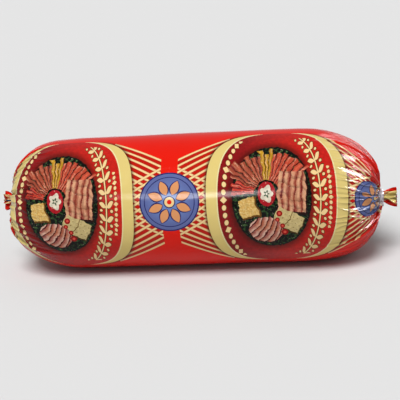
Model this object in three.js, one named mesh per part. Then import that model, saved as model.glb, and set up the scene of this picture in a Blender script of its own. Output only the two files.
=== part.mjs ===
// A ham sausage stuffed tight in a printed film casing and closed with an aluminium clip at each end.
// It lies along X and rests on the flat that its own weight presses into its underside, at Z = 0.
// Millimetres, +Z up. The origin is under the middle of the overall length.
import * as THREE from "three";

// The stuffed body: its section is a slightly flattened round, and its ends are blunt domes.
const CALIBRE = 100; // diameter of the filled casing before it is laid down
const SQUASH = 0.02; // how much wider than round it lies, as a share of its radius
const AXIS_HEIGHT = 49; // height of the body's axis above the surface it lies on
const RADIUS = CALIBRE / 2;

// The casing is gathered into a neck at each end, clipped, and cut off beyond the clip.
const NECK_RADIUS = 4.2;
const GATHER_RADIUS = 9; // inside this radius the gathered film lies flat behind the clip
const DIMPLE_RADIUS = 24; // the film starts to dip towards the clip here
const TAIL_HALF_HEIGHT = 7.4; // the cut tail spreads into an upright fan
const TAIL_HALF_THICKNESS = 4.6;
const TAIL_LOBES = 9;
const TAIL_LOBE_DEPTH = 0.14; // as a share of the fan's own radius

// Each end: where its pole is, how blunt its dome is, and how far the clip sinks into it. The neck
// is off the body's axis by drop, downwards, reached over the last BEND_DEPTH of the dome, and the
// dome bulges out most on the side away from it, by lean, downwards. Turn is the clip's, in degrees.
const DOME_DEPTH = 64;
const BEND_DEPTH = 50;
const TAIL_END = 150;
const RIGHT = { side: 1, pole: 137.5, blunt: 2.6, dimple: 1.9, drop: 4.1, lean: -2.5, turn: 18 };
const LEFT = { side: -1, pole: 142.5, blunt: 2.8, dimple: 3.5, drop: -4.3, lean: 5, turn: -24 };

// Radial pleats of the gathered film, deepest close to the neck and gone at the shoulder.
const PLEATS = 18;
const PLEAT_DEPTH = 0.55;
const PLEAT_START_RADIUS = 8;
const PLEAT_END_RADIUS = 42;
const SAMPLES_PER_PLEAT = 4;

// The aluminium clip: a U of flat wire pressed shut round the neck until its two legs meet.
const CLIP_WIDTH = 4.2; // along the neck
const CLIP_OUTER_RADIUS = 6.1;
const CLIP_LEG_DROP = 3.4; // from the neck's centre to where the legs turn in
const CLIP_FOOT_DROP = 2.35; // from there to the underside of the turned-in ends
const CLIP_FOOT_HALF_WIDTH = 3.1; // the flat part of the underside, each side of the middle
const CLIP_CORNER_RISE = 1.35; // how far above the leg drop the rounded corner starts
const CLIP_SLIT = 0.5; // between the ends of the legs
const CLIP_BEVEL = 0.5;
const CLEARANCE = 0.3; // between the film and the clip

const FILM_COLOUR = "#c4201a";
const CLIP_COLOUR = "#c8c8cc";

const DOME_RINGS = 18;
const DOME_RING_CROWDING = 0.8; // below 1, the rings crowd towards the gathered film
const BARREL_RINGS = 6;
const TAIL_RINGS = 4;

const degrees = (angle) => (angle * Math.PI) / 180;
const smooth = (from, to, value) => THREE.MathUtils.smoothstep(value, from, to);
const gatherFloor = (end) => end.pole - end.dimple; // where the gathered film meets the neck
const clipStart = (end) => gatherFloor(end) + CLEARANCE;
const tailStart = (end) => clipStart(end) + CLIP_WIDTH + CLEARANCE;

// Radius and distance from the middle along one end, from the barrel out to the cut tail.
function endProfile(end) {
  const points = [];
  for (let i = 0; i <= DOME_RINGS; i++) {
    const inward = Math.cos(degrees(90 * (i / DOME_RINGS))) ** DOME_RING_CROWDING;
    const radius = NECK_RADIUS + (RADIUS - NECK_RADIUS) * inward;
    const fullness = (1 - (radius / RADIUS) ** end.blunt) ** (1 / end.blunt);
    const dip = end.dimple * (1 - smooth(GATHER_RADIUS, DIMPLE_RADIUS, radius));
    const along = end.pole - DOME_DEPTH * (1 - fullness) - dip;
    points.push(new THREE.Vector2(radius, Math.min(along, gatherFloor(end))));
  }
  points.push(new THREE.Vector2(NECK_RADIUS, tailStart(end)));
  for (let i = 1; i <= TAIL_RINGS; i++) {
    const share = i / TAIL_RINGS;
    const radius = THREE.MathUtils.lerp(NECK_RADIUS, TAIL_HALF_HEIGHT, Math.sin(degrees(90 * share)));
    points.push(new THREE.Vector2(radius, THREE.MathUtils.lerp(tailStart(end), TAIL_END, share)));
  }
  points.push(new THREE.Vector2(0, TAIL_END));
  return points;
}

// The whole outline, from the left tail's cut end to the right tail's, on the axis at both ends.
function casingProfile() {
  const left = endProfile(LEFT).map((p) => new THREE.Vector2(p.x, -p.y));
  const right = endProfile(RIGHT);
  const barrel = [];
  for (let i = 1; i < BARREL_RINGS; i++) {
    const along = THREE.MathUtils.lerp(left[0].y, right[0].y, i / BARREL_RINGS);
    barrel.push(new THREE.Vector2(RADIUS, along));
  }
  return [...left.reverse(), ...barrel, ...right];
}

// How far a pleat lifts or sinks the film at this radius and angle.
function pleat(radius, angle) {
  const rise = smooth(NECK_RADIUS, PLEAT_START_RADIUS, radius);
  const fade = 1 - smooth(PLEAT_START_RADIUS, PLEAT_END_RADIUS, radius);
  return PLEAT_DEPTH * rise * fade * Math.cos(PLEATS * angle);
}

// One point of the casing: the round outline is flattened, pleated, and fanned out at the tails.
function casingPoint(along, radius, angle) {
  const end = along > 0 ? RIGHT : LEFT;
  const out = Math.abs(along);
  const tail = smooth(tailStart(end) - CLEARANCE, TAIL_END, out);
  const bend = smooth(end.pole - BEND_DEPTH, gatherFloor(end), out);
  const turned = angle - degrees(end.turn);
  const lobes = 1 + tail * TAIL_LOBE_DEPTH * Math.cos(TAIL_LOBES * turned);
  const thin = THREE.MathUtils.lerp(1, TAIL_HALF_THICKNESS / TAIL_HALF_HEIGHT, tail);
  const across = radius * lobes * Math.cos(turned) * thin;
  const upright = radius * lobes * Math.sin(turned);
  const wide = 1 + SQUASH * (radius / RADIUS) * (1 - tail);
  const y = (across * Math.cos(degrees(end.turn)) - upright * Math.sin(degrees(end.turn))) * wide;
  const z = across * Math.sin(degrees(end.turn)) + upright * Math.cos(degrees(end.turn));
  const lift = out < gatherFloor(end) ? pleat(radius, angle) : 0;
  const height = Math.max(z - end.drop * bend, -AXIS_HEIGHT) + AXIS_HEIGHT;
  const bulge = -end.lean * bend * smooth(GATHER_RADIUS, DIMPLE_RADIUS, radius) * (z / RADIUS);
  return new THREE.Vector3(along + end.side * (lift + bulge), y, height);
}

function casingGeometry() {
  const geometry = new THREE.LatheGeometry(casingProfile(), PLEATS * SAMPLES_PER_PLEAT);
  const position = geometry.getAttribute("position");
  for (let i = 0; i < position.count; i++) {
    const along = position.getY(i);
    const radius = Math.hypot(position.getX(i), position.getZ(i));
    const angle = Math.atan2(position.getX(i), position.getZ(i));
    const point = casingPoint(along, radius, angle);
    position.setXYZ(i, point.x, point.y, point.z);
  }
  geometry.computeVertexNormals();
  return geometry;
}

// The clip's outline seen along the neck: a round crown, two straight legs, and ends turned in
// under the neck. It is drawn inside its bevel, which brings it out to full size.
function clipOutline() {
  const outer = CLIP_OUTER_RADIUS - CLIP_BEVEL;
  const inner = NECK_RADIUS + CLEARANCE + CLIP_BEVEL;
  const slit = CLIP_SLIT / 2 + CLIP_BEVEL;
  const slitAngle = Math.asin(slit / inner);
  const foot = -CLIP_LEG_DROP - CLIP_FOOT_DROP;
  const corner = -CLIP_LEG_DROP + CLIP_CORNER_RISE;
  const shape = new THREE.Shape();
  shape.moveTo(slit, foot);
  shape.lineTo(CLIP_FOOT_HALF_WIDTH, foot);
  shape.quadraticCurveTo(outer, foot, outer, corner);
  shape.lineTo(outer, 0);
  shape.absarc(0, 0, outer, 0, Math.PI, false);
  shape.lineTo(-outer, corner);
  shape.quadraticCurveTo(-outer, foot, -CLIP_FOOT_HALF_WIDTH, foot);
  shape.lineTo(-slit, foot);
  shape.lineTo(-inner * Math.sin(slitAngle), -inner * Math.cos(slitAngle));
  shape.absarc(0, 0, inner, 1.5 * Math.PI - slitAngle, -0.5 * Math.PI + slitAngle, true);
  return shape;
}

function clipGeometry() {
  const geometry = new THREE.ExtrudeGeometry(clipOutline(), {
    depth: CLIP_WIDTH - 2 * CLIP_BEVEL,
    bevelThickness: CLIP_BEVEL,
    bevelSize: CLIP_BEVEL,
    bevelSegments: 2,
    curveSegments: 12,
    steps: 1,
  });
  geometry.translate(0, 0, CLIP_BEVEL);
  // The outline's up is Z, and its thickness runs along X from the clip's inner face.
  geometry.rotateX(Math.PI / 2);
  geometry.rotateZ(Math.PI / 2);
  return geometry;
}

function clip(name, end) {
  const material = new THREE.MeshStandardMaterial({ color: CLIP_COLOUR, roughness: 0.35, metalness: 1 });
  const mesh = new THREE.Mesh(clipGeometry(), material);
  mesh.name = name;
  const inner = end.side > 0 ? clipStart(end) : -clipStart(end) - CLIP_WIDTH;
  mesh.position.set(inner, 0, AXIS_HEIGHT - end.drop);
  mesh.rotation.x = degrees(end.turn);
  return mesh;
}

function stuffedCasing() {
  const material = new THREE.MeshStandardMaterial({ color: FILM_COLOUR, roughness: 0.25, metalness: 0 });
  const mesh = new THREE.Mesh(casingGeometry(), material);
  mesh.name = "stuffed_casing";
  return mesh;
}

const sausage = new THREE.Group();
sausage.add(stuffedCasing(), clip("clip_left", LEFT), clip("clip_right", RIGHT));

export default sausage;
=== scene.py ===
import math

import bpy
import numpy
from mathutils import Matrix, Vector


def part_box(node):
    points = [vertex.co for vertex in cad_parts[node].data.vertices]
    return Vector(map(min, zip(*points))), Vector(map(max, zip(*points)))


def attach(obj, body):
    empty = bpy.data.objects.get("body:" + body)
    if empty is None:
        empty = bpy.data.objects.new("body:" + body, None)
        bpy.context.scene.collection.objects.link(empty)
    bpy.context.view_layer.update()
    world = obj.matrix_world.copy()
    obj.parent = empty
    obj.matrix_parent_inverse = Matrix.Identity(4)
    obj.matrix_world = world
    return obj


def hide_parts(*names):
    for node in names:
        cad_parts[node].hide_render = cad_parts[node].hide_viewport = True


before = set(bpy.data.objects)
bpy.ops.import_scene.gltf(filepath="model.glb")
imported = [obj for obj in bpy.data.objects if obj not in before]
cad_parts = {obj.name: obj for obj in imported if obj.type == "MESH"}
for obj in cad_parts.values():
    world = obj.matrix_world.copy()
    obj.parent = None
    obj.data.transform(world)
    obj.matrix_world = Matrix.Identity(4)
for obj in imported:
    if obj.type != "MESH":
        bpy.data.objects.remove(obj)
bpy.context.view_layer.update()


# ---- Studio ----
# A plain pale floor in an even pale surround. A broad key light from above and in front lights the
# inks. Four softboxes, in front, on the right, high on the right and behind, only gleam in the
# gloss.

MM = 0.001  # lengths of the sausage are given in millimetres, the scene is in metres


def linear(code):
    """A hex colour as the linear red, green, blue and alpha that a shader takes."""
    shares = [int(code[place : place + 2], 16) / 255 for place in (1, 3, 5)]
    return [s / 12.92 if s <= 0.04045 else ((s + 0.055) / 1.055) ** 2.4 for s in shares] + [1]


FLOOR_SIZE = 60
bpy.ops.mesh.primitive_plane_add(size=FLOOR_SIZE)
floor = bpy.context.object
floor.name = "floor"

floor_paint = bpy.data.materials.new("floor_paint")
floor_paint.use_nodes = True
floor_shader = floor_paint.node_tree.nodes["Principled BSDF"]
floor_shader.inputs["Base Color"].default_value = linear("#cacaca")
floor_shader.inputs["Roughness"].default_value = 1
floor_shader.inputs["Specular IOR Level"].default_value = 0
floor.data.materials.append(floor_paint)

surround = bpy.data.worlds.new("surround")
surround.use_nodes = True
surround.node_tree.nodes["Background"].inputs["Color"].default_value = linear("#ffffff")
surround.node_tree.nodes["Background"].inputs["Strength"].default_value = 0.35
bpy.context.scene.world = surround
bpy.context.scene.view_settings.view_transform = "Standard"


def softbox(name, place, aim, size, power):
    """A square light at place, facing aim, that shows in the gloss but leaves the inks alone."""
    light = bpy.data.lights.new(name, "AREA")
    light.size = size
    light.energy = power
    lamp = bpy.data.objects.new(name, light)
    turn = (Vector(place) - Vector(aim)).to_track_quat("Z", "Y")
    lamp.matrix_world = Matrix.Translation(place) @ turn.to_matrix().to_4x4()
    lamp.visible_diffuse = False
    bpy.context.scene.collection.objects.link(lamp)


key_light = bpy.data.lights.new("key_light", "SUN")
key_light.energy = 3.6
key_light.angle = math.radians(30)
key_lamp = bpy.data.objects.new("key_light", key_light)
key_lamp.rotation_euler = Vector((-0.1, -0.6, 1)).to_track_quat("Z", "Y").to_euler()
key_lamp.visible_glossy = False
bpy.context.scene.collection.objects.link(key_lamp)
RIGHT_DOME = (0.12, -0.03, 0.07)
softbox("front_light", (-0.16, -1.27, 0.64), (0, 0, 0.05), size=0.2, power=4)
softbox("right_light", (1.06, -0.18, 0.66), RIGHT_DOME, size=0.42, power=50)
softbox("high_light", (0.87, 0.4, 0.85), RIGHT_DOME, size=0.25, power=8)
softbox("back_light", (0.6, 0.9, 0.6), (0.05, 0, 0.07), size=0.8, power=6)

CAMERA_TURN = math.radians(8)  # round from straight in front, towards the right end
CAMERA_RISE = math.radians(18)
CAMERA_ROLL = math.radians(-4.655)
CAMERA_DISTANCE = 0.9
CAMERA_AIM = Vector((2, 0, 47.6)) * MM
LENS = 106.33  # millimetres, on a frame 36 millimetres wide
towards_camera = Vector(
    (
        math.sin(CAMERA_TURN) * math.cos(CAMERA_RISE),
        -math.cos(CAMERA_TURN) * math.cos(CAMERA_RISE),
        math.sin(CAMERA_RISE),
    )
)
camera_data = bpy.data.cameras.new("camera")
camera_data.lens = LENS
camera_data.sensor_width = 36
camera = bpy.data.objects.new("camera", camera_data)
camera.matrix_world = (
    Matrix.Translation(CAMERA_AIM + towards_camera * CAMERA_DISTANCE)
    @ towards_camera.to_track_quat("Z", "Y").to_matrix().to_4x4()
    @ Matrix.Rotation(CAMERA_ROLL, 4, "Z")
)
bpy.context.scene.collection.objects.link(camera)
bpy.context.scene.camera = camera


# ---- Stuffed casing: its shape ----
# One sleeve of multilayer film, drawn tight over the ham. Its ends are bunched into a neck, so
# the film runs in radial creases over both domes, passes through the clip as a tight bunch of
# folds, and spreads again beyond it into a short tail that is cut straight across.

CALIBRE = 100 * MM
RADIUS = CALIBRE / 2
casing_low, casing_high = (Vector(corner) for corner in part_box("stuffed_casing"))
AXIS_HEIGHT = casing_high.z - RADIUS
WIDENING = casing_high.y / RADIUS - 1  # how much wider than round it lies

NECK_RADIUS = 4.2 * MM
CLIP_CLEARANCE = 0.3 * MM
CLIP_CROWN = 6.1 * MM  # from the neck's centre to the top of the clip
DOME_DEPTH = 64 * MM
BEND_DEPTH = 50 * MM  # the last part of the dome, over which its centre shifts to the neck's
GATHER_RADIUS = 9 * MM  # the film has dipped in all the way by here
DIMPLE_RADIUS = 24 * MM  # and starts to dip here
TUCK = 3.2 * MM  # how deep the cut tail is hollow
FOOT_ROUNDING = 0.8 * MM  # how softly the underside turns into the flat it lies on

COLUMNS = 540  # round the log
BARREL_STEP = 16 * MM
DOME_STEP = 1.6 * MM
TAIL_STEP = 0.9 * MM


def smooth(low, high, value):
    """0 below low, 1 above high, and an even curve between."""
    share = numpy.clip((value - low) / (high - low), 0, 1)
    return share * share * (3 - 2 * share)


def end_shape(side, clip, blunt, dimple, lean, turn, lobes):
    """What tells the two ends apart. Dimple is how far the film dips towards the clip, lean how
    much further the dome bulges at its underside than at its axis."""
    low, high = (Vector(corner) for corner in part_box(clip))
    inner, outer = sorted((abs(low.x), abs(high.x)))
    return {
        "side": side,
        "pole": inner - CLIP_CLEARANCE + dimple,
        "floor": inner - CLIP_CLEARANCE,
        "blunt": blunt,
        "dimple": dimple,
        "lean": lean,
        "neck": high.z - CLIP_CROWN,
        "clip": (inner, outer),
        "tail": outer + CLIP_CLEARANCE,
        "cut": casing_high.x if side > 0 else -casing_low.x,
        "turn": math.radians(turn),
        "lobes": lobes,
    }


# The folds of each tail: direction at the clip and at the cut, in degrees from +Y towards +Z,
# reach at the cut in millimetres, and half width in degrees.
RIGHT_LOBES = [
    (98, 92, 7.4, 19),
    (128, 122, 6.6, 15),
    (160, 222, 7.6, 13),
    (190, 164, 5.4, 20),
    (232, 250, 7.8, 16),
    (275, 282, 7.2, 15),
    (318, 325, 5.6, 17),
    (2, 8, 5.4, 20),
    (48, 52, 6.6, 16),
]
LEFT_LOBES = [
    (75, 70, 7.6, 17),
    (112, 118, 7.2, 15),
    (150, 158, 5.6, 18),
    (192, 184, 6.0, 16),
    (230, 236, 7.2, 15),
    (262, 258, 7.7, 16),
    (306, 312, 5.8, 18),
    (350, 346, 5.2, 20),
    (32, 28, 6.4, 17),
]
right_end = end_shape(
    1, "clip_right", blunt=2.6, dimple=1.9 * MM, lean=-2.5 * MM, turn=18, lobes=RIGHT_LOBES
)
left_end = end_shape(
    -1, "clip_left", blunt=2.8, dimple=3.5 * MM, lean=5 * MM, turn=-24, lobes=LEFT_LOBES
)


def even_walk(points, step):
    """The same line with points at equal steps of about the given length."""
    points = numpy.array(points)
    walked = numpy.concatenate([[0], numpy.cumsum(numpy.hypot(*numpy.diff(points, axis=0).T))])
    places = numpy.linspace(0, walked[-1], round(walked[-1] / step) + 1)
    return numpy.column_stack([numpy.interp(places, walked, points[:, k]) for k in (0, 1)])


def end_outline(end):
    """Distance from the middle and radius, from the shoulder out to the inside of the cut tail."""
    dome = []
    for part in numpy.linspace(0, 1, 600):
        angle = math.radians(90 * part)
        radius = RADIUS * math.cos(angle) ** (2 / end["blunt"])
        rise = DOME_DEPTH * math.sin(angle) ** (2 / end["blunt"])
        if radius < NECK_RADIUS:
            break
        dip = end["dimple"] * (1 - smooth(GATHER_RADIUS, DIMPLE_RADIUS, radius))
        dome.append((min(end["pole"] - DOME_DEPTH + rise - dip, end["floor"]), radius))
    dome.append((end["floor"], NECK_RADIUS))
    neck = [(end["floor"], NECK_RADIUS), (end["tail"], NECK_RADIUS)]
    tail = [(end["tail"], NECK_RADIUS), (end["cut"], NECK_RADIUS)]
    lip = (end["cut"] - 0.1 * MM, 0.84 * NECK_RADIUS)
    inside = [lip, (end["cut"] - TUCK + 0.2 * MM, 0.62 * NECK_RADIUS)]
    rows = [
        even_walk(dome, DOME_STEP),
        even_walk(neck, DOME_STEP)[1:],
        even_walk(tail, TAIL_STEP)[1:],
        even_walk(inside, TAIL_STEP),
        numpy.array([(end["cut"] - TUCK, 0)]),
    ]
    return numpy.concatenate(rows)


right_outline = end_outline(right_end)
left_outline = end_outline(left_end)[::-1] * (-1, 1)
barrel_outline = even_walk([left_outline[-1], right_outline[0]], BARREL_STEP)[1:-1]
outline = numpy.concatenate([left_outline, barrel_outline, right_outline])

# The outline is drawn point by point above the axis, and spun round it.
bpy.ops.object.select_all(action="DESELECT")
bpy.ops.mesh.primitive_plane_add(size=MM, location=(outline[0][0], 0, AXIS_HEIGHT))
casing = bpy.context.object
casing.name = "printed_casing"
bpy.ops.object.transform_apply(location=True)
bpy.ops.object.mode_set(mode="EDIT")
bpy.ops.mesh.merge(type="CENTER")
for before, after in zip(outline[:-1], outline[1:]):
    move = (after[0] - before[0], 0, after[1] - before[1])
    bpy.ops.mesh.extrude_region_move(TRANSFORM_OT_translate={"value": move})
bpy.ops.mesh.select_all(action="SELECT")
bpy.ops.mesh.spin(steps=COLUMNS, angle=math.tau, center=(0, 0, AXIS_HEIGHT), axis=(1, 0, 0))
bpy.ops.mesh.select_all(action="SELECT")
bpy.ops.mesh.remove_doubles(threshold=0.005 * MM)
bpy.ops.mesh.normals_make_consistent(inside=False)
bpy.ops.object.mode_set(mode="OBJECT")

# Where each point of the spun mesh is on the outline, and its angle round the axis.
count = len(casing.data.vertices)
spots = numpy.empty(count * 3)
casing.data.vertices.foreach_get("co", spots)
spots = spots.reshape(count, 3)
angle = numpy.arctan2(spots[:, 2] - AXIS_HEIGHT, spots[:, 1])
reach = numpy.hypot(spots[:, 1], spots[:, 2] - AXIS_HEIGHT)
ring = numpy.empty(count, int)
AT_ONCE = 4096
for start in range(0, count, AT_ONCE):
    chunk = slice(start, start + AT_ONCE)
    gaps = numpy.hypot(
        spots[chunk, 0, None] - outline[None, :, 0], reach[chunk, None] - outline[None, :, 1]
    )
    ring[chunk] = gaps.argmin(axis=1)

# The film's own measure along the log, from the middle, and the outward slope at each ring.
steps = numpy.hypot(*numpy.diff(outline, axis=0).T)
film_along = numpy.concatenate([[0], numpy.cumsum(steps)])
barrel = slice(len(left_outline) - 1, 1 - len(right_outline))
film_along -= numpy.interp(0, outline[barrel, 0], film_along[barrel])
slope = numpy.gradient(outline, axis=0)
slope /= numpy.maximum(numpy.hypot(slope[:, 0], slope[:, 1]), 1e-9)[:, None]
outward = numpy.column_stack([-slope[:, 1], slope[:, 0]])

# Creases of the gathered film. Each starts at the neck and runs out over the dome: some die on
# the dome, a few cross the shoulder. A crease is a crest with a steep side, a groove along the foot
# of that side where the film is folded under, and a gentle side.
LONG_CREASES = 27
SHORT_CREASES = 34
CREASE_PITCH = math.tau / LONG_CREASES
DEEP_ONE_IN = 4
STEEP_SIDE = 0.35 * MM  # width of a crease's steep side at the neck
WIDENING_OUT = 0.55 * MM  # and how much that grows by its far end
GENTLE_SIDE = 3.4  # the gentle side, as a multiple of the steep one
GROOVE_AT = 1.9  # the groove, in widths of the steep side
GROOVE_DEPTH = 0.45  # as a share of the crease's height
FULL_SHADE_HEIGHT = 1.6 * MM  # height from which a crease's painted shade is at full strength
BUNCH_HEIGHT = 0.2 * MM  # of the tight pleats at the neck
draw = numpy.random.default_rng(27)


def wrapped(turn):
    """The same turn between minus half and plus half a circle."""
    return (turn + math.pi) % math.tau - math.pi


def draw_creases():
    """The creases of one end. Lost is the share of the spare film that a crease takes up, drift how
    far it strays sideways, and steep the side it is steep on. One long one in four is deep."""
    long_ones = []
    for number in range(LONG_CREASES):
        deep = number % DEEP_ONE_IN == 0
        crease = {
            "direction": (number + draw.uniform(-0.36, 0.36)) * CREASE_PITCH,
            "length": draw.uniform(*((66, 88) if deep else (30, 66))) * MM,
            "height": draw.uniform(*((2.2, 2.8) if deep else (1.1, 2.2))) * MM,
            "lost": draw.uniform(*((1.4, 1.8) if deep else (0.4, 1.1))),
            "drift": draw.uniform(-0.12, 0.12),
            "steep": draw.choice([-1, 1]),
        }
        long_ones.append(crease)
    short_ones = []
    for _ in range(SHORT_CREASES):
        crease = {
            "direction": draw.uniform(0, math.tau),
            "length": draw.uniform(14, 40) * MM,
            "height": draw.uniform(0.35, 0.8) * MM,
            "drift": draw.uniform(-0.06, 0.06),
            "steep": draw.choice([-1, 1]),
        }
        short_ones.append(crease)
    return long_ones, short_ones


def from_neck(end, along_film):
    """How far, along the film, a point is from where the film meets the neck."""
    gaps = numpy.hypot(outline[:, 0] - end["floor"] * end["side"], outline[:, 1] - NECK_RADIUS)
    return abs(film_along[gaps.argmin()]) - abs(along_film)


def crease_line(crease, away):
    """The direction of a crease that far from the neck."""
    stray = crease["drift"] * (numpy.clip(away, 0, None) / crease["length"]) ** 2
    return crease["direction"] + stray


def crease_lift(end):
    """How far the creases lift the film at every point near this end, and how dark the painted
    shade in their grooves is there, from 0 to 1."""
    away = from_neck(end, film_along[ring])
    lift = numpy.zeros(count)
    crease_shade = numpy.zeros(count)
    for crease in end["long_creases"] + end["short_creases"]:
        part = numpy.clip(away / crease["length"], 0, 1)
        aside = wrapped(angle - crease_line(crease, away)) * reach * crease["steep"]
        steep = STEEP_SIDE + WIDENING_OUT * part
        slant = numpy.where(aside > 0, -aside / (GENTLE_SIDE * steep), aside / steep)
        groove = numpy.exp(-((aside / steep + GROOVE_AT) ** 2))
        fade = (1 - part) * smooth(-0.5 * MM, 6 * MM, away)
        lift += crease["height"] * (numpy.exp(slant) - GROOVE_DEPTH * groove) * fade
        # Painted shade: the film's colour is darkened along each crease's groove, more for taller
        # creases.
        shade_strength = min(crease["height"] / FULL_SHADE_HEIGHT, 1)
        crease_shade = numpy.maximum(crease_shade, groove * fade * shade_strength)
    bunch = numpy.zeros(count)
    for folds in (23, 31, 44):
        bunch += numpy.sin(folds * angle + draw.uniform(0, math.tau))
    gather = numpy.exp(-numpy.clip(away, 0, None) / GATHER_RADIUS) * smooth(-1 * MM, 2 * MM, away)
    lift += BUNCH_HEIGHT * bunch * gather
    on_dome = (spots[:, 0] * end["side"] > 0) & (away > -0.5 * MM)
    return numpy.where(on_dome, lift, 0), numpy.where(on_dome, crease_shade, 0)


for end in (right_end, left_end):
    end["long_creases"], end["short_creases"] = draw_creases()
lift, crease_shade = crease_lift(right_end)
left_lift, left_crease_shade = crease_lift(left_end)
lift += left_lift
crease_shade += left_crease_shade

# The ham isn't quite even under the film: long shallow swells that bend the reflections.
SWELL_HEIGHT = 0.07 * MM
swell = numpy.zeros(count)
for waves_round, waves_along in ((2, 31), (3, 47), (5, 62), (4, 85), (7, 54)):
    phase = draw.uniform(0, math.tau)
    swell += numpy.sin(waves_round * angle + waves_along * spots[:, 0] + phase)
lift += SWELL_HEIGHT * swell * smooth(8 * MM, 30 * MM, reach)

along = spots[:, 0] + lift * outward[ring, 0]
radius = reach + lift * outward[ring, 1]

BETWEEN_LOBES = 2.6 * MM  # reach of the tail between its folds


def fan_out(end):
    """Reach of the tail's folds at every point, as a multiple of the neck's radius."""
    out = spots[:, 0] * end["side"]
    share = numpy.clip((out - end["tail"]) / (end["cut"] - end["tail"]), 0, 1)
    spread = numpy.sin(math.radians(90) * share) ** 0.8
    longest = numpy.full(count, BETWEEN_LOBES)
    for at_clip, at_cut, reach_mm, half_width in end["lobes"]:
        line = numpy.radians(at_clip + (at_cut - at_clip) * share)
        aside = numpy.angle(numpy.exp(1j * (angle - line))) / math.radians(half_width)
        longest = numpy.maximum(longest, reach_mm * MM * numpy.exp(-(numpy.abs(aside) ** 1.6)))
    return 1 + spread * (longest / NECK_RADIUS - 1), share


bend = numpy.zeros(count)  # how far the section's centre has gone over to the neck's height
shift = numpy.zeros(count)
tail_share = numpy.zeros(count)
for end in (right_end, left_end):
    out = spots[:, 0] * end["side"]
    widen, share = fan_out(end)
    radius = numpy.where(out > end["tail"] - 0.01 * MM, radius * widen, radius)
    tail_share = numpy.maximum(tail_share, share)
    bent = smooth(end["pole"] - BEND_DEPTH, end["floor"], out)
    bend += bent * (end["neck"] - AXIS_HEIGHT)
    leaning = bent * smooth(GATHER_RADIUS, DIMPLE_RADIUS, reach)
    shift -= end["side"] * end["lean"] * leaning * reach * numpy.sin(angle) / RADIUS

width = 1 + WIDENING * reach / RADIUS * (1 - tail_share)
across = radius * numpy.cos(angle) * width
height = AXIS_HEIGHT + radius * numpy.sin(angle) + bend
height = (height + numpy.sqrt(height**2 + FOOT_ROUNDING**2)) / 2
height -= height.min()
shaped = numpy.column_stack([along + shift, across, height])
casing.data.vertices.foreach_set("co", shaped.ravel())
# The painted shade of the crease grooves is kept on the mesh, for the print to darken by.
painted_crease_shade = casing.data.attributes.new("painted_crease_shade", "FLOAT", "POINT")
painted_crease_shade.data.foreach_set("value", crease_shade)

# The film's own map: u runs along the log and v round it, both in millimetres of film, from the
# line of the print that faces the front. So the print follows the film into the gathers, and a
# strip of it is lost in the fold of every long crease.
FACING = math.radians(163.7)
LEFT_STRETCH = 5 * MM  # the print is drawn out this much over the left shoulder
LEFT_SHOULDER = 122 * MM, 148 * MM
LEFT_SQUEEZE = 17 * MM  # and pushed together this much nearer the left clip
LEFT_GATHER = 150 * MM, 176 * MM
FOLDED_IN = 0.72  # the share of the spare film that the long creases take up
film_map = casing.data.uv_layers.new(name="film")
corners = len(casing.data.loops)
corner_vertex = numpy.empty(corners, int)
casing.data.loops.foreach_get("vertex_index", corner_vertex)
faces = len(casing.data.polygons)
face_size = numpy.empty(faces, int)
casing.data.polygons.foreach_get("loop_total", face_size)
corner_face = numpy.repeat(numpy.arange(faces), face_size)
corner_angle = angle[corner_vertex]
lowest = numpy.full(faces, math.pi)
numpy.minimum.at(lowest, corner_face, wrapped(FACING - corner_angle))
# Every corner of a face is measured on the same side of the seam at the back.
round_film = wrapped(FACING - corner_angle)
round_film -= numpy.where(round_film - lowest[corner_face] > math.pi, math.tau, 0)


def face_middle(values):
    """The mean over a face's corners, at each of its corners."""
    return (numpy.bincount(corner_face, values) / face_size)[corner_face]


middle = FACING - face_middle(round_film)
corner_along = film_along[ring][corner_vertex]
spare = FOLDED_IN * (RADIUS - numpy.minimum(reach[corner_vertex], RADIUS)) * CREASE_PITCH
skipped = numpy.zeros(corners)
for end in (right_end, left_end):
    away = from_neck(end, corner_along)
    middle_away = from_neck(end, face_middle(corner_along))
    for crease in end["long_creases"]:
        beside = numpy.sign(wrapped(middle - crease_line(crease, middle_away)))
        aside = wrapped(middle - crease_line(crease, away)) + FACING - round_film - middle
        near = numpy.clip(1 - beside * aside / CREASE_PITCH, 0, None)
        fade = numpy.clip(1 - away / crease["length"], 0, 1) ** 0.5
        strip = 0.5 * crease["lost"] * spare * beside * near * fade
        skipped += numpy.where(corner_along * end["side"] > 0, strip, 0)
printed_along = corner_along + LEFT_STRETCH * smooth(*LEFT_SHOULDER, -corner_along)
printed_along -= LEFT_SQUEEZE * smooth(*LEFT_GATHER, -corner_along)
film_uv = numpy.column_stack([printed_along, round_film * RADIUS - skipped]) / MM
film_map.data.foreach_set("uv", film_uv.ravel())

bpy.ops.object.shade_smooth()


# ---- Stuffed casing: its print and gloss ----
# The film is printed in red, gold, cream and blue inks under a clear gloss layer. The same
# design runs round it twice and repeats along it: a red panel with a cold-cut platter between
# two gold crescents, then a lattice of cream lines with a blue roundel.


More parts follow.
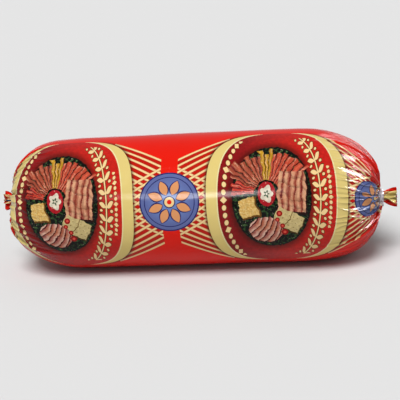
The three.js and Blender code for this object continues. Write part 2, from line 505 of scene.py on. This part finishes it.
class Ink:
    """A value or colour on its way through a material's nodes. Sums and products add Math nodes."""

    def __init__(self, tree, socket=None):
        self.tree = tree
        self.socket = socket

    def node(self, kind, settings, inputs, output=0):
        """Any node: its settings are set first, then the values or links of its sockets."""
        made = self.tree.nodes.new(kind)
        for name, value in settings.items():
            setattr(made, name, value)
        for name, value in inputs.items():
            if isinstance(value, Ink):
                self.tree.links.new(value.socket, made.inputs[name])
            else:
                made.inputs[name].default_value = value
        return Ink(self.tree, made.outputs[output])

    def math(self, operation, *values):
        return self.node("ShaderNodeMath", {"operation": operation}, dict(enumerate(values)))

    def __add__(self, other):
        return self.math("ADD", self, other)

    def __sub__(self, other):
        return self.math("SUBTRACT", self, other)

    def __rsub__(self, other):
        return self.math("SUBTRACT", other, self)

    def __mul__(self, other):
        return self.math("MULTIPLY", self, other)

    def __truediv__(self, other):
        return self.math("DIVIDE", self, other)

    def __pow__(self, other):
        return self.math("POWER", self, other)

    def __lt__(self, other):
        return self.math("LESS_THAN", self, other)

    def __gt__(self, other):
        return self.math("GREATER_THAN", self, other)

    def __abs__(self):
        return self.math("ABSOLUTE", self)

    def __neg__(self):
        return self.math("MULTIPLY", self, -1)

    __radd__ = __add__
    __rmul__ = __mul__

    def either(self, other):
        return self.math("MAXIMUM", self, other)

    def repeated(self, pitch):
        """The distance from the middle of the cell this value is in, in cells of that pitch."""
        return self.math("WRAP", self, pitch / 2, -pitch / 2)

    def cell(self, pitch):
        """The number of the cell this value is in."""
        return self.math("ROUND", self / pitch)

    def ramp(self, low, high):
        """0 below low, 1 above high, smooth between. With high below low it falls."""
        settings = {"interpolation_type": "SMOOTHSTEP"}
        return self.node("ShaderNodeMapRange", settings, {0: self, 1: low, 2: high, 3: 0, 4: 1})

    def chance(self, seed=0):
        """A random number from 0 to 1 for each whole value."""
        settings = {"noise_dimensions": "1D"}
        return self.node("ShaderNodeTexWhiteNoise", settings, {"W": self + seed})

    def flat(self, colour):
        """One plain colour to start from."""
        made = self.node("ShaderNodeRGB", {}, {})
        made.socket.default_value = colour
        return made

    def under(self, colour, mask):
        """This colour with another laid over it where mask is 1."""
        inputs = {0: mask, 6: self, 7: colour}
        return self.node("ShaderNodeMix", {"data_type": "RGBA"}, inputs, output=2)

    def shaded(self, strength):
        """This colour made brighter or darker."""
        settings = {"data_type": "RGBA", "blend_type": "MULTIPLY"}
        grey = self.node("ShaderNodeCombineColor", {}, {0: strength, 1: strength, 2: strength})
        return self.node("ShaderNodeMix", settings, {0: 1, 6: self, 7: grey}, output=2)


def plane(x, y):
    """The two measures as one vector, for a texture."""
    return x.node("ShaderNodeCombineXYZ", {}, {0: x, 1: y, 2: 0})


def noise(x, y, size, detail=2, seed=0):
    """Soft noise with lumps of about that size, from 0 to 1."""
    inputs = {"Vector": plane(x, y), "W": seed, "Scale": 1 / size, "Detail": detail}
    return x.node("ShaderNodeTexNoise", {"noise_dimensions": "4D"}, inputs)


def oval(x, y, half_width, half_height, squareness=2):
    """1 on the rim of an oval about the origin, less inside it and more outside."""
    return (abs(x) / half_width) ** squareness + (abs(y) / half_height) ** squareness


def turned(x, y, degrees):
    """The same place measured along axes turned by that angle."""
    cos, sin = math.cos(math.radians(degrees)), math.sin(math.radians(degrees))
    return x * cos + y * sin, y * cos - x * sin


def box(x, y, half_width, half_height):
    """1 inside an upright box about the origin."""
    return (abs(x) < half_width) * (abs(y) < half_height)


# The layout, in millimetres of film.
REPEAT = 155  # from one panel to the next along the log
LANE = math.pi * RADIUS / MM  # from one panel to the next round it
PANEL_AT = 63.9
ROUNDEL_AT = PANEL_AT + REPEAT / 2
PANEL_RIM = 50.8, 59, 2.8  # half width, half height and squareness
PANEL_INNER_RIM = 42.4, 59.3, 2.5
CRESCENT_TIP = 10.5  # the crescents end this far from the panel's upright middle line
PLATTER_AT = -3.6, 1.3
PLATTER_HALF = 28.5, 39.7

GROUND_RED = linear("#c91607")
DEEP_RED = linear("#a51207")
DARK_RED = linear("#720903")
PANEL_RED = linear("#d0231a")
CRIMSON = linear("#8f1418")
GOLD = linear("#c5b06b")
GOLD_EDGE = linear("#cec290")
CREAM = linear("#d4b781")
BLUE = linear("#515b8b")
PALE_BLUE = linear("#647bae")
NAVY = linear("#181b52")
ORANGE = linear("#c18456")
SHADOW = linear("#271207")
OLIVE = linear("#54270a")


def lattice(colour, x, y):
    """Two bundles of slanting cream lines on deeper red, crossing behind the roundel. They stop
    short of the middle above and below it."""
    bundle_half, pitch, far_end = 29.6, 5.2, 43
    middle_gap = (abs(x) < 6.2) * (abs(y) > 18)
    place = (abs(x) < far_end) * (1 - middle_gap)
    offsets = [y + x * lean for lean in (0.56, -0.56)]
    bundles = [place * (abs(offset) < bundle_half) for offset in offsets]
    for bundle in bundles:
        colour = colour.under(DEEP_RED, bundle)
    for offset, bundle in zip(offsets, bundles):
        line = abs((offset + pitch / 2).repeated(pitch))
        colour = colour.under(DARK_RED, bundle * line.ramp(1.3, 1.0))
        colour = colour.under(CREAM, bundle * line.ramp(1.0, 0.8))
    return colour


def roundel(colour, x, y):
    """A blue disc with a navy rim and a ring of eight orange petals round a cream heart."""
    out = oval(x, y, 1, 1) ** 0.5
    turn = y.math("ARCTAN2", y, x)
    petals, petal_middle, petal_half = 8, 11, 5.8
    aside = abs((turn + math.pi / petals).repeated(math.tau / petals)) * out
    from_middle = abs(out - petal_middle)
    width = 1 - (from_middle / petal_half) ** 2
    disc = out < 20.9
    colour = colour.under(NAVY, out < 21.9)
    colour = colour.under(BLUE, disc).under(PALE_BLUE, disc * out.ramp(19, 4) * 0.8)
    colour = colour.under(NAVY, abs(out - 18.2) < 0.3)
    colour = colour.under(NAVY, (aside < width * 3.7 + 0.2) * (from_middle < petal_half + 0.3))
    colour = colour.under(ORANGE, (aside < width * 3.3 - 0.35) * (from_middle < petal_half))
    colour = colour.under(NAVY, out < 4.4)
    return colour.under(CREAM, out < 3.6).under(GROUND_RED, out < 1.7)


def curved(x, y, half_width, half_height):
    """Measures across and along the right-hand side of an oval."""
    ratio = oval(x, y, half_width, half_height) ** 0.5
    steepness = oval(x, y, half_width**2, half_height**2) ** 0.5 / ratio
    turn = y.math("ARCTAN2", y / half_height, x / half_width)
    return (ratio - 1) / steepness, turn * half_height - turn**3 * (half_height * 0.107)


def garland(colour, x, y, half_width, half_height, reach, size):
    """Cream leaves in pairs along a bowed stem, with a berry between the pairs, edged in olive."""
    away, along = curved(x, y, half_width, half_height)
    along_here = along.repeated(size)
    side = abs(away) / size
    inside = (abs(y) < reach) * (x > 0)  # not on the oval's other side
    for swell, ink in ((0.055, OLIVE), (0, CREAM)):
        leaf = (side - 0.27) / (0.25 + swell)
        slant = abs(along_here / size + 0.22 - side * 0.7)
        leaves = slant < (1 - leaf * leaf) * (0.21 + swell)
        stem = side < 0.045 + swell
        berry_place = (along_here / size + 0.46).repeated(1)
        berry = oval(side - 0.38, berry_place, 1, 1) < (0.1 + swell) ** 2
        colour = colour.under(ink, leaves.either(stem).either(berry) * inside)
    return colour


def beads(colour, x, y, half_width, half_height, reach, size):
    """A row of small cream beads along a bowed line, every fourth one a lozenge."""
    away, along = curved(x, y, half_width, half_height)
    pitch = 1.15 * size
    here = along.repeated(pitch)
    fourth = abs(along.cell(pitch).repeated(4)) < 0.5
    for swell, ink in ((0.08, OLIVE), (0, CREAM)):
        bead = oval(away, here, size * (0.32 + swell), size * (0.4 + swell)) < 1
        lozenge = (abs(away) + abs(here)) < size * (0.52 + swell)
        mark = bead * (1 - fourth) + lozenge * fourth
        colour = colour.under(ink, mark * (abs(y) < reach) * (x > 0))
    return colour


def platter(colour, x, y):
    """A round dish of cold cuts: fans of rolled slices, streaky bacon, crackers, folded ham,
    cheese and a radish flower on dark salad leaves."""
    out = oval(x, y, *PLATTER_HALF) ** 0.5
    colour = colour.under(SHADOW, out.ramp(1.22, 0.96) * 0.8)
    grain = noise(x, y, 1.3, detail=3)
    leaves = noise(x, y, 2.4, detail=4, seed=5)
    ragged = out + leaves * 0.08 - 0.04
    salad = colour.under(linear("#0d100c"), ragged < 1)
    salad = salad.under(linear("#2d4b26"), (ragged < 0.985) * leaves.ramp(0.5, 0.6))
    salad = salad.under(linear("#8fa06c"), (ragged < 0.985) * leaves.ramp(0.64, 0.72))

    # Nothing on the dish is cut quite straight: everything below is drawn on a bent grid.
    bent_x = x + (noise(x, y, 8, detail=4, seed=3) - 0.5) * 6 + (grain - 0.5) * 1.2
    bent_y = y + (noise(x, y, 8, detail=4, seed=13) - 0.5) * 6 + (leaves - 0.5) * 1.2
    fan_x, fan_y = bent_x + 3.5, bent_y - 2
    reach = oval(fan_x, fan_y, 1, 1) ** 0.5
    turn = y.math("ARCTAN2", fan_y, fan_x) / math.radians(1)
    patches = noise(x, y, 9, detail=3, seed=17)

    # Rolled slices in fans round the middle, with strips of yellow pepper between them.
    for low, high, pitch, far, dark, pale, seed in (
        (100, 152, 8.6, 34, "#641c14", "#d4694a", 1),
        (30, 80, 8.2, 35, "#8c1c14", "#ee6848", 9),
        (80, 100, 6.6, 36, "#85500a", "#ecb732", 4),
        (152, 188, 7, 26, "#84121a", "#f04a34", 7),
    ):
        strip_turn = turn - (low + high) / 2
        strip = strip_turn.repeated(pitch)
        number = strip_turn.cell(pitch)
        length = far - 5 + number.chance(seed) * 6
        here = (abs(strip_turn) < (high - low) / 2) * (reach > 9.5) * (reach < length)
        rolled = 1 - (abs(strip) / (pitch * 0.5)) ** 2
        streaks = noise(turn / 2.2, reach / 9, 1, detail=3, seed=seed)
        tone = rolled * (0.2 + streaks * 1.1) * (0.65 + number.chance(seed + 30) * 0.5)
        meat = colour.flat(linear(dark)).under(linear(pale), tone)
        meat = meat.under(linear("#84405a"), rolled.ramp(0.6, 0.2) * patches.ramp(0.45, 0.62) * 0.5)
        meat = meat.under(linear("#f4bf9c"), (rolled > 0.66) * streaks.ramp(0.52, 0.66) * 0.7)
        salad = salad.under(meat, here * (abs(strip) < pitch * (0.37 + streaks * 0.12)))

    # Streaky bacon in an uneven stack.
    px, py = turned(bent_x - 14.5, bent_y - 3, -4)
    shade = noise(px / 1.5, py / 11, 1, detail=3, seed=21)
    streak = (px + (shade - 0.5) * 3).repeated(4.6)
    fat = abs(streak) / 2.3
    bacon = colour.flat(linear("#9c3a32")).under(linear("#e8ac84"), fat.ramp(0.9, 0.2))
    bacon = bacon.under(linear("#5f1a1a"), (fat > 0.9) * 0.8).shaded(0.6 + shade * 0.8)
    layer = (py + px * 0.3 + (patches - 0.5) * 12).repeated(7.4)
    bacon = bacon.under(linear("#b0593c"), patches.ramp(0.45, 0.62) * 0.35)
    bacon = bacon.shaded(0.95 - layer.ramp(-1.2, -3.7) * 0.35)
    salad = salad.under(linear("#2a0e0a"), box(px - 0.6, py + 0.9, 10.6, 15.4) * (out < 0.93))
    salad = salad.under(bacon, box(px, py, 10.2, 14.8) * (out < 0.92))

    # Two crackers with docking holes.
    px, py = turned(bent_x - 11, bent_y + 18, -28)
    hole = oval((px + 1.2).repeated(3.2), py.repeated(3.6), 0.42, 0.42) < 1
    cracker = colour.flat(linear("#d6c084")).shaded(0.75 + grain * 0.45)
    cracker = cracker.under(linear("#7a5c2c"), (hole * 0.7).either(abs(px) < 0.35))
    salad = salad.under(linear("#4f3a18"), box(px - 0.5, py + 0.9, 10.6, 7.3))
    salad = salad.under(cracker, box(px, py, 10.3, 6.8))

    # Folded ham, one slice behind another.
    px, py = bent_x + 5, bent_y + 25
    fold = oval(px + 15, py - 13, 1, 1.15) ** 0.5
    edge = fold.repeated(3.7)
    ham = colour.flat(linear("#b5645a")).under(linear("#efc4ae"), edge.ramp(-0.4, 1.6))
    ham = ham.under(linear("#c8703c"), patches.ramp(0.4, 0.65) * 0.5)
    ham = ham.under(linear("#5a1c1a"), abs(edge + 1.4) < 0.42).shaded(0.7 + grain * 0.5)
    salad = salad.under(linear("#240c0a"), oval(px, py + 0.6, 12.8, 11) < 1)
    salad = salad.under(ham, oval(px, py, 12.2, 10.4) < 1)

    # Cheese, cherry tomatoes, and the radish flower in the middle.
    px, py = turned(bent_x + 17, bent_y + 8, 13)
    cheese = colour.flat(linear("#d9a650")).under(linear("#f0d48c"), grain.ramp(0.35, 0.7))
    salad = salad.under(linear("#6c4614"), box(px - 0.7, py + 0.8, 6.5, 7.4))
    salad = salad.under(cheese, box(px, py, 6.1, 6.9))
    for at_x, at_y, size in ((5, -12.5, 2.2), (8.2, -27, 2.4), (3.4, -17, 1.7), (6.8, -21.8, 1.8)):
        berry = oval(x - at_x, y - at_y, size, size)
        salad = salad.under(linear("#9c1014"), berry < 1).under(linear("#e65440"), berry < 0.2)
    heart = oval(x + 3.5, y - 2, 6.4, 8.8) ** 0.5
    petal_turn = y.math("ARCTAN2", y - 2, x + 3.5)
    petals = y.math("COSINE", petal_turn * 5) * 0.1 + (grain - 0.5) * 0.25
    salad = salad.under(linear("#b01c26"), heart + (grain - 0.5) * 0.2 < 1)
    salad = salad.under(linear("#ece0c8"), heart < 0.66 + petals)
    salad = salad.under(linear("#4d6045"), heart < 0.24 + petals)
    salad = salad.under(linear("#ece0c8"), heart < 0.1)

    # The whole dish is mottled, with small wet glints.
    glints = noise(x, y, 1.1, detail=2, seed=41).ramp(0.64, 0.76) * (ragged < 0.97)
    return salad.shaded(0.34 + leaves * 0.6).under(linear("#e8d4c0"), glints * 0.4)


film = bpy.data.materials.new("printed_film")
film.use_nodes = True
film_tree = film.node_tree
film_shader = film_tree.nodes["Principled BSDF"]
film_place = Ink(film_tree).node("ShaderNodeUVMap", {"uv_map": "film"}, {})
u = film_place.node("ShaderNodeSeparateXYZ", {}, {0: film_place}, output="X")
v = film_place.node("ShaderNodeSeparateXYZ", {}, {0: film_place}, output="Y")
panel_x = (u - PANEL_AT).repeated(REPEAT)
roundel_x = (u - ROUNDEL_AT).repeated(REPEAT)
lane_y = v.repeated(LANE)

panel_rim = oval(panel_x, lane_y, *PANEL_RIM)
inner_rim = oval(panel_x, lane_y, *PANEL_INNER_RIM)
panel = panel_rim < 1
crescents = panel * (inner_rim > 1) * (abs(panel_x) > CRESCENT_TIP)
crescent_edge = crescents * (inner_rim < 1.05)

# Outside the panels: the lattice, in the shade of the crescents, under the roundel.
print_colour = lattice(u.flat(GROUND_RED), roundel_x, lane_y)
beside_panel = panel_rim.ramp(1.16, 1.0) * abs(panel_x).ramp(14, 34)
print_colour = print_colour.under(SHADOW, beside_panel * 0.8)
print_colour = roundel(print_colour, roundel_x, lane_y)

# Inside them: red that darkens to the left, the platter between its ornaments, and the crescents.
panel_colour = u.flat(PANEL_RED).under(CRIMSON, panel_x.ramp(20, -38))
panel_colour = platter(panel_colour, panel_x - PLATTER_AT[0], lane_y - PLATTER_AT[1])
panel_colour = garland(panel_colour, panel_x, lane_y, 31.2, 59, reach=50, size=10)
panel_colour = beads(panel_colour, panel_x, lane_y, 38.4, 75, reach=24, size=3.4)
panel_colour = beads(panel_colour, -panel_x, lane_y, 38.1, 67, reach=49, size=4.9)
print_colour = print_colour.under(panel_colour, panel)
print_colour = print_colour.under(GOLD, crescents).under(GOLD_EDGE, crescent_edge)

# The inks vary a little, and painted shade darkens the film along the grooves of the creases.
print_colour = print_colour.shaded(0.96 + noise(u, v, 18, seed=8) * 0.08)
# Painted shade along the crease grooves, read from the mesh.
fold = u.node("ShaderNodeAttribute", {"attribute_name": "painted_crease_shade"}, {}, output="Fac")
print_colour = print_colour.shaded(1 - fold * 0.75)
film_tree.links.new(print_colour.socket, film_shader.inputs["Base Color"])

# The gloss: nearly even on the barrel, with fine wrinkles along the film and sharp narrow pinches
# where it is gathered.
from_middle = abs(u + 2.5)  # the left end is 5 mm further out than the right one
gathered = from_middle.ramp(108, 150)
wrinkle = noise(u / 14, v, 1, detail=2, seed=2)
unevenness = noise(u, v, 7, detail=2, seed=4)
pinch = 1 - abs(noise(u / 36, v / 8, 1, detail=1, seed=12) * 2 - 1)
pinched = from_middle.ramp(92, 135)
relief = (wrinkle * gathered * 0.07 + pinch**10 * pinched * 1.5 + unevenness * 0.05) * MM
bump = u.node("ShaderNodeBump", {}, {"Strength": 1, "Distance": 1, "Height": relief})
film_tree.links.new(bump.socket, film_shader.inputs["Normal"])
roughness = 0.09 + noise(u, v, 25, seed=6) * 0.08
film_tree.links.new(roughness.socket, film_shader.inputs["Roughness"])
film_shader.inputs["Specular IOR Level"].default_value = 0.13
casing.data.materials.append(film)
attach(casing, "root")
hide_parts("stuffed_casing")


# ---- Clips ----
# Each is a length of flat aluminium wire, bent into a U, pushed over the gathered neck from above
# and pressed shut round it, until its rounded ends turn in under the neck and meet.

WIRE_WIDTH = 4.2 * MM  # along the neck
WIRE_THICKNESS = 1.6 * MM
CROWN_RADIUS = CLIP_CROWN - WIRE_THICKNESS / 2  # to the middle of the wire
LEG_DROP = 3.4 * MM  # from the neck's centre to where the legs turn in
TURN_IN_RADIUS = 1.85 * MM
SLIT = 0.4 * MM  # between the two ends of the wire
WIRE_ROUNDING = 0.5 * MM

aluminium = bpy.data.materials.new("crimped_aluminium")
aluminium.use_nodes = True
aluminium_shader = aluminium.node_tree.nodes["Principled BSDF"]
aluminium_shader.inputs["Metallic"].default_value = 0.8
place = Ink(aluminium.node_tree).node("ShaderNodeTexCoord", {}, {}, output="Object")
place_x = place.node("ShaderNodeSeparateXYZ", {}, {0: place}, output="X") / MM
place_z = place.node("ShaderNodeSeparateXYZ", {}, {0: place}, output="Z") / MM
drawn = noise(place_x, place_z / 9, 0.35, detail=2, seed=1)  # lines along the wire from drawing it
scuffs = noise(place_x, place_z, 1.4, detail=4, seed=2)
metal = place.flat(linear("#c9c2c8")).under(linear("#5c565e"), scuffs.ramp(0.46, 0.62) * 0.85)
aluminium.node_tree.links.new(metal.socket, aluminium_shader.inputs["Base Color"])
dull = 0.22 + scuffs * 0.3
aluminium.node_tree.links.new(dull.socket, aluminium_shader.inputs["Roughness"])
marks = (drawn * 0.06 + scuffs * 0.35) * MM
scored = place.node("ShaderNodeBump", {}, {"Strength": 1, "Distance": 1, "Height": marks})
aluminium.node_tree.links.new(scored.socket, aluminium_shader.inputs["Normal"])


def pressed_clip(name, node, end):
    """The wire is drawn as one face at the end of a leg, and led round the neck to the other."""
    middle = end["side"] * sum(end["clip"]) / 2
    neck = Vector((middle, 0, end["neck"]))
    foot = neck.z - LEG_DROP - TURN_IN_RADIUS
    corner = CROWN_RADIUS - TURN_IN_RADIUS
    bpy.ops.object.select_all(action="DESELECT")
    bpy.ops.mesh.primitive_plane_add(size=1, location=(middle, 0, foot))
    clip = bpy.context.object
    clip.name = name
    bpy.ops.object.transform_apply(location=True)
    bpy.ops.object.mode_set(mode="EDIT")
    start = (middle, 0, foot)
    bpy.ops.transform.resize(value=(WIRE_WIDTH, WIRE_THICKNESS, 1), center_override=start)
    bpy.ops.transform.rotate(value=math.radians(90), orient_axis="X", center_override=start)
    bpy.ops.transform.translate(value=(0, SLIT / 2, 0))
    turn_in = {"axis": (-1, 0, 0), "angle": math.radians(90), "steps": 6}

    def extrude(y, z):
        bpy.ops.mesh.extrude_region_move(TRANSFORM_OT_translate={"value": (0, y, z)})

    extrude(corner - SLIT / 2, 0)
    bpy.ops.mesh.spin(center=(middle, corner, neck.z - LEG_DROP), **turn_in)
    extrude(0, LEG_DROP)
    bpy.ops.mesh.spin(center=neck, axis=(-1, 0, 0), angle=math.pi, steps=28)
    extrude(0, -LEG_DROP)
    bpy.ops.mesh.spin(center=(middle, -corner, neck.z - LEG_DROP), **turn_in)
    extrude(corner - SLIT / 2, 0)
    bpy.ops.mesh.select_all(action="SELECT")
    bpy.ops.mesh.remove_doubles(threshold=0.01 * MM)
    bpy.ops.mesh.normals_make_consistent(inside=False)
    bpy.ops.transform.rotate(value=-end["turn"], orient_axis="X", center_override=neck)
    bpy.ops.object.mode_set(mode="OBJECT")
    rounding = clip.modifiers.new("rounding", "BEVEL")
    rounding.width = WIRE_ROUNDING
    rounding.segments = 4
    rounding.limit_method = "ANGLE"
    rounding.angle_limit = math.radians(50)
    bpy.ops.object.modifier_apply(modifier="rounding")
    bpy.ops.object.shade_smooth_by_angle(angle=math.radians(40))
    clip.data.materials.append(aluminium)
    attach(clip, "root")
    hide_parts(node)


pressed_clip("pressed_clip_right", "clip_right", right_end)
pressed_clip("pressed_clip_left", "clip_left", left_end)
